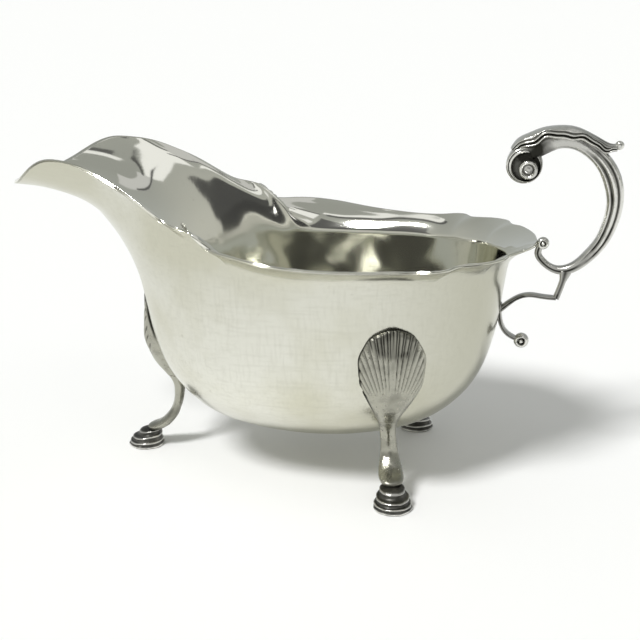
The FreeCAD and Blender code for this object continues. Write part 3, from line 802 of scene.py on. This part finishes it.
def raised_silver():
    """Sheet silver: satin and finely scratched outside, mirror-bright inside, with warm clouding, and painted
    shade on the outside towards the handle end, the sole and the rim.
    """
    material, nodes, links, shader, place = new_silver("raised_silver")
    clouds = noise(nodes, links, place, 26.0, 5.0)
    specks = noise(nodes, links, place, 520.0, 3.0)
    inside = mark(nodes, "inside")
    upright = noise(nodes, links, place, 1.0, 4.0, UPRIGHT_LINES)
    level = noise(nodes, links, place, 1.0, 4.0, LEVEL_LINES)
    clouding = spread(nodes, links, clouds, 0.42, 0.60, 0.0, 1.0)
    tone = mixed(nodes, links, clouding, SILVER_PALE, SILVER_WARM)
    split = nodes.new("ShaderNodeSeparateXYZ")
    links.new(place.outputs["Object"], split.inputs["Vector"])
    # Painted shade on the body's outside: darker towards the handle end, towards the sole and towards the rim
    shade_to_handle = spread(nodes, links, split.outputs["X"], 0.005, 0.050, 0.0, 1.0)
    shade_at_sole = spread(nodes, links, split.outputs["Z"], 0.026, 0.012, 0.0, 0.7)
    shade_to_rim = spread(nodes, links, split.outputs["Z"], 0.030, 0.062, 0.0, 0.40)
    painted_shade = combine(nodes, links, "MAXIMUM", shade_to_handle, shade_at_sole)
    painted_shade = combine(nodes, links, "MAXIMUM", painted_shade, shade_to_rim)
    tone = mixed(nodes, links, painted_shade, tone, SILVER_SHADED)
    for scratches in (upright, level):
        share = spread(nodes, links, scratches, 0.48, 0.70, 0.0, 0.16)
        tone = mixed(nodes, links, share, tone, SCRATCH)
    tone = mixed(nodes, links, inside, tone, SILVER_INSIDE)
    spots = spread(nodes, links, specks, 0.70, 0.78, 0.0, 0.35)
    links.new(mixed(nodes, links, spots, tone, SPECK), shader.inputs["Base Color"])
    satin = spread(nodes, links, clouds, 0.3, 0.7, 0.17, 0.27)
    polish = spread(nodes, links, clouds, 0.3, 0.7, 0.05, 0.11)
    rough = nodes.new("ShaderNodeMix")
    links.new(inside, rough.inputs["Factor"])
    links.new(satin, rough.inputs["A"])
    links.new(polish, rough.inputs["B"])
    links.new(rough.outputs["Result"], shader.inputs["Roughness"])
    bumped(nodes, links, shader, (
        (upright, 0.0001, spread(nodes, links, inside, 0.0, 1.0, 0.26, 0.03)),
        (level, 0.0001, spread(nodes, links, inside, 0.0, 1.0, 0.20, 0.02)),
    ))
    return material


def cast_silver(name, bright, gloss, lumpy):
    """Cast silver: polished where hands reach it, blackened in every recess, slightly grainy. On the knees
    the same mark also lays painted shade on the turned-over top and painted shadow where the shell meets the
    wall.

    bright is its clean colour, gloss its lowest roughness, and lumpy how uneven the casting is.
    """
    material, nodes, links, shader, place = new_silver(name)
    clouds = noise(nodes, links, place, 150.0, 6.0)
    grain = noise(nodes, links, place, 1400.0, 4.0)
    patches = spread(nodes, links, clouds, 0.50, 0.72, 0.0, 0.7)
    pits = spread(nodes, links, grain, 0.60, 0.74, 0.0, 0.45)
    # This mark is tarnish in recesses, and on the knees also painted shade and painted shadow
    recess = combine(nodes, links, "POWER", mark(nodes, "tarnish_and_shade"), 1.3)
    dark = combine(nodes, links, "ADD", recess, combine(nodes, links, "MULTIPLY", patches, 0.6))
    dark = combine(nodes, links, "MAXIMUM", dark, pits)
    links.new(mixed(nodes, links, dark, bright, TARNISH_AND_SHADE), shader.inputs["Base Color"])
    links.new(spread(nodes, links, dark, 0.0, 1.0, gloss, 0.5), shader.inputs["Roughness"])
    lumps = noise(nodes, links, place, 420.0, 3.0)
    bumped(nodes, links, shader, ((lumps, 0.0003, lumpy), (grain, 0.0001, 0.30)))
    return material


def oxidised_silver():
    """The hooves: dark all over, with the thin edges of the tiers worn bright."""
    material, nodes, links, shader, place = new_silver("oxidised_silver")
    clouds = noise(nodes, links, place, 260.0, 6.0)
    grain = noise(nodes, links, place, 1500.0, 4.0)
    clouding = spread(nodes, links, clouds, 0.35, 0.7, 0.0, 1.0)
    base = mixed(nodes, links, clouding, OXIDE_DARK, OXIDE_PALE)
    uneven = spread(nodes, links, clouds, 0.3, 0.5, 0.45, 1.0)
    edges = combine(nodes, links, "POWER", mark(nodes, "wear"), 2.6)
    rubbed = combine(nodes, links, "MULTIPLY", edges, uneven)
    links.new(mixed(nodes, links, rubbed, base, WORN_EDGE), shader.inputs["Base Color"])
    links.new(spread(nodes, links, rubbed, 0.0, 1.0, 0.42, 0.20), shader.inputs["Roughness"])
    bumped(nodes, links, shader, ((grain, 0.00012, 0.35),))
    return material


# ---------------------------------------------------------------- floor, light and camera
FLOOR_REACH = 40.0


def add_floor():
    """A pale floor that runs past the horizon of the main view."""
    corners = [(x * FLOOR_REACH, y * FLOOR_REACH, 0) for x, y in ((-1, -1), (1, -1), (1, 1), (-1, 1))]
    mesh = bpy.data.meshes.new("floor")
    mesh.from_pydata(corners, [], [(0, 1, 2, 3)])
    floor = bpy.data.objects.new("floor", mesh)
    bpy.context.scene.collection.objects.link(floor)
    material, nodes, _ = new_material("floor")
    shader = nodes["Principled BSDF"]
    shader.inputs["Base Color"].default_value = (0.97, 0.97, 0.965, 1)
    shader.inputs["Roughness"].default_value = 0.9
    shader.inputs["Specular IOR Level"].default_value = 0.1
    floor.data.materials.append(material)


def add_key_light():
    """A soft distant light from the front left, so that the floor is lit evenly."""
    light = bpy.data.lights.new("key", "SUN")
    light.energy = 2.5
    light.angle = math.radians(16)
    lamp = bpy.data.objects.new("key", light)
    lamp.rotation_euler = Vector((-0.42, -0.73, 1.0)).to_track_quat("Z", "Y").to_euler()
    bpy.context.scene.collection.objects.link(lamp)


FRONT_LIGHT, BACK_LIGHT, TOP_LIGHT = (0.56, 0.56, 0.52), (0.48, 0.50, 0.50), (0.36, 0.37, 0.35)
SEEN_LIGHT = (0.97, 0.97, 0.97)

# Dark and bright cards round the studio, in degrees: heading (0 is the -Y side, 90 is the +X
# side), height, half-width, half-height, and then brightness. Later cards cover earlier ones
CARDS = (
    (110, 62, 55, 8, 0.62), (25, 7, 20, 12, 0.06), (36, 18, 10, 11, 0.08), (-20, 37, 26, 15, 0.12),
    (14, 30, 3, 4, 0.9), (16, 14, 1.5, 1.5, 3.5), (36, 52, 20, 9, 0.98), (85, 55, 42, 0.6, 0.06),
    (38, 64, 22, 0.6, 0.08), (-60, 66, 60, 2, 0.12), (-60, 72, 70, 2.5, 0.95),
)
CARD_EDGE = 1.0


def card_share(nodes, links, angle, half):
    """1 inside the half-angle, and 0 a card's edge outside it.

    angle is a socket in radians, and half is a number of degrees.
    """
    size = plain(nodes, links, "ABSOLUTE", angle)
    return spread(nodes, links, size, math.radians(half), math.radians(half + CARD_EDGE), 1.0, 0.0)


def add_world():
    """A studio that is bright in front and grey above and behind. The camera sees it plain."""
    world = bpy.data.worlds.new("studio")
    bpy.context.scene.world = world
    world.use_nodes = True
    nodes, links = world.node_tree.nodes, world.node_tree.links
    place = nodes.new("ShaderNodeTexCoord")
    split = nodes.new("ShaderNodeSeparateXYZ")
    links.new(place.outputs["Generated"], split.inputs["Vector"])
    toward_back = spread(nodes, links, split.outputs["Y"], -0.45, 0.55, 0.0, 1.0)
    toward_top = spread(nodes, links, split.outputs["Z"], 0.15, 0.95, 0.0, 1.0)
    colour = mixed(nodes, links, toward_back, FRONT_LIGHT, BACK_LIGHT)
    colour = mixed(nodes, links, toward_top, colour, TOP_LIGHT)
    forward = plain(nodes, links, "MULTIPLY", split.outputs["Y"], -1.0)
    heading = plain(nodes, links, "ARCTAN2", split.outputs["X"], forward)
    height = plain(nodes, links, "ARCSINE", split.outputs["Z"])
    for card_heading, card_height, half_width, half_height, level in CARDS:
        turn = plain(nodes, links, "SUBTRACT", heading, math.radians(card_heading))
        turn = plain(nodes, links, "WRAP", turn, -math.pi, math.pi)
        rise = plain(nodes, links, "SUBTRACT", height, math.radians(card_height))
        card = combine(nodes, links, "MULTIPLY", card_share(nodes, links, turn, half_width),
                       card_share(nodes, links, rise, half_height))
        colour = mixed(nodes, links, card, colour, (level, level, level))
    seen = nodes.new("ShaderNodeLightPath")
    colour = mixed(nodes, links, seen.outputs["Is Camera Ray"], colour, SEEN_LIGHT)
    links.new(colour, nodes["Background"].inputs["Color"])


def add_camera():
    """The view from the -Y side, turned a little to the handle and looking down."""
    azimuth, elevation, reach = math.radians(11), math.radians(17), 0.3158
    target = Vector((0.0042, 0, 0.0427))
    away = Vector((math.sin(azimuth) * math.cos(elevation), -math.cos(azimuth) * math.cos(elevation),
                   math.sin(elevation)))
    lens = bpy.data.cameras.new("camera")
    lens.sensor_width = 36
    lens.lens = 61.875
    lens.clip_start = 0.01
    lens.clip_end = 100
    camera = bpy.data.objects.new("camera", lens)
    camera.location = target + away * reach
    camera.rotation_euler = (-away).to_track_quat("-Z", "Y").to_euler()
    bpy.context.scene.collection.objects.link(camera)
    bpy.context.scene.camera = camera


# ---------------------------------------------------------------- the whole scene
def build():
    """The whole boat, then its studio."""
    raised, oxidised = raised_silver(), oxidised_silver()
    cast = cast_silver("cast_silver", HANDLE_SILVER, 0.17, 0.35)
    rubbed = cast_silver("leg_silver", LEG_SILVER, 0.24, 0.75)
    wall = wall_tree()
    add_body(raised)
    for name, place, bend in leg_places():
        add_knee(name, place, bend, wall, rubbed)
        add_stem(name, place, bend, wall, rubbed)
        add_hoof(name, place, oxidised)
    add_scroll(cast)
    add_leaf(cast)
    add_turned_pieces(cast)
    add_straps(cast)
    add_floor()
    add_world()
    add_key_light()
    add_camera()
    bpy.context.scene.view_settings.view_transform = "Standard"


build()
